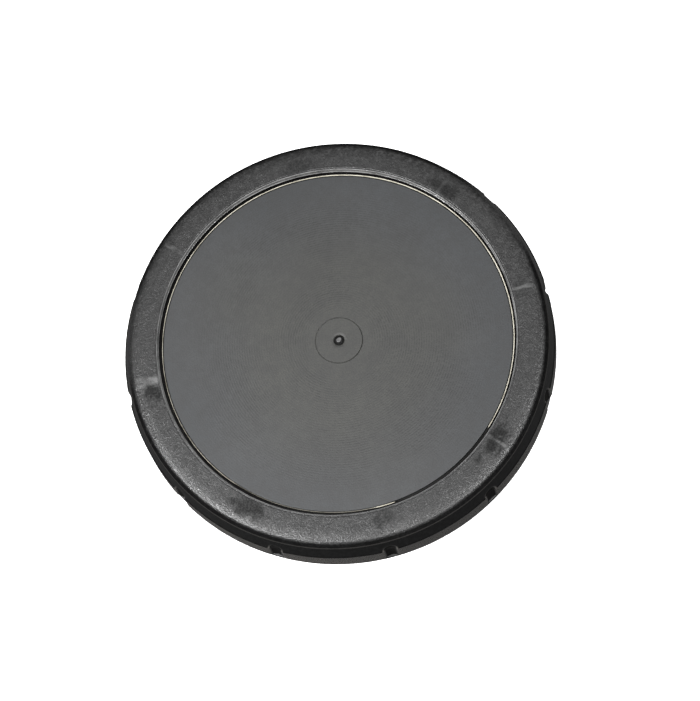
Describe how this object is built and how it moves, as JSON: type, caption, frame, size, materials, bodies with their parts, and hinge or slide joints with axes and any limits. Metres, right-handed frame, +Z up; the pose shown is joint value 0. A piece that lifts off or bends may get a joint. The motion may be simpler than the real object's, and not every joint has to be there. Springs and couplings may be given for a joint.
{
  "type": "rock tumbler barrel",
  "caption": "Round tumbling barrel: rubber-lined moulded shell with traction rings, closed by a flat recessed lid plate held down by a fluted screw ring.",
  "frame": {"origin": "centre of the circle that the barrel's base foot stands on", "axes": "+Z up along the barrel's axis towards the lid; the pictured side faces -Y"},
  "size_m": [0.1998, 0.1998, 0.12],
  "materials": {
    "ring_plastic": "moulded, fine grain, semi-matt black",
    "black_plastic": "moulded, smooth semi-matt black",
    "grey_plastic": "moulded, satin dark grey with fine concentric tool marks",
    "liner_rubber": "matt black rubber",
    "gasket_rubber": "smooth black rubber",
    "band_rubber": "matt black rubber",
    "seal_rubber": "cream natural rubber"
  },
  "bodies": {
    "barrel": {"barrel_shell": "black_plastic", "barrel_liner": "liner_rubber", "mouth_gasket": "gasket_rubber", "drive_band_lower": "band_rubber", "drive_band_upper": "band_rubber"},
    "lid": {"lid_disc": "grey_plastic", "lid_facing": "liner_rubber", "rim_seal": "seal_rubber"},
    "cap": {"cap_ring": "ring_plastic"}
  },
  "joints": [
    {"name": "lid_rise", "type": "slide", "parent": "barrel", "child": "lid", "axis": [0, 0, 1], "range_m": [0, 0.054]},
    {"name": "cap_turn", "type": "hinge", "parent": "lid", "child": "cap", "pos_m": [0, 0, 0.11], "axis": [0, 0, 1], "range_deg": [0, 1080]}
  ],
  "couplings": [
    {"joint": "cap_turn", "follows": "lid_rise", "rad_per_m": 349.06}
  ]
}
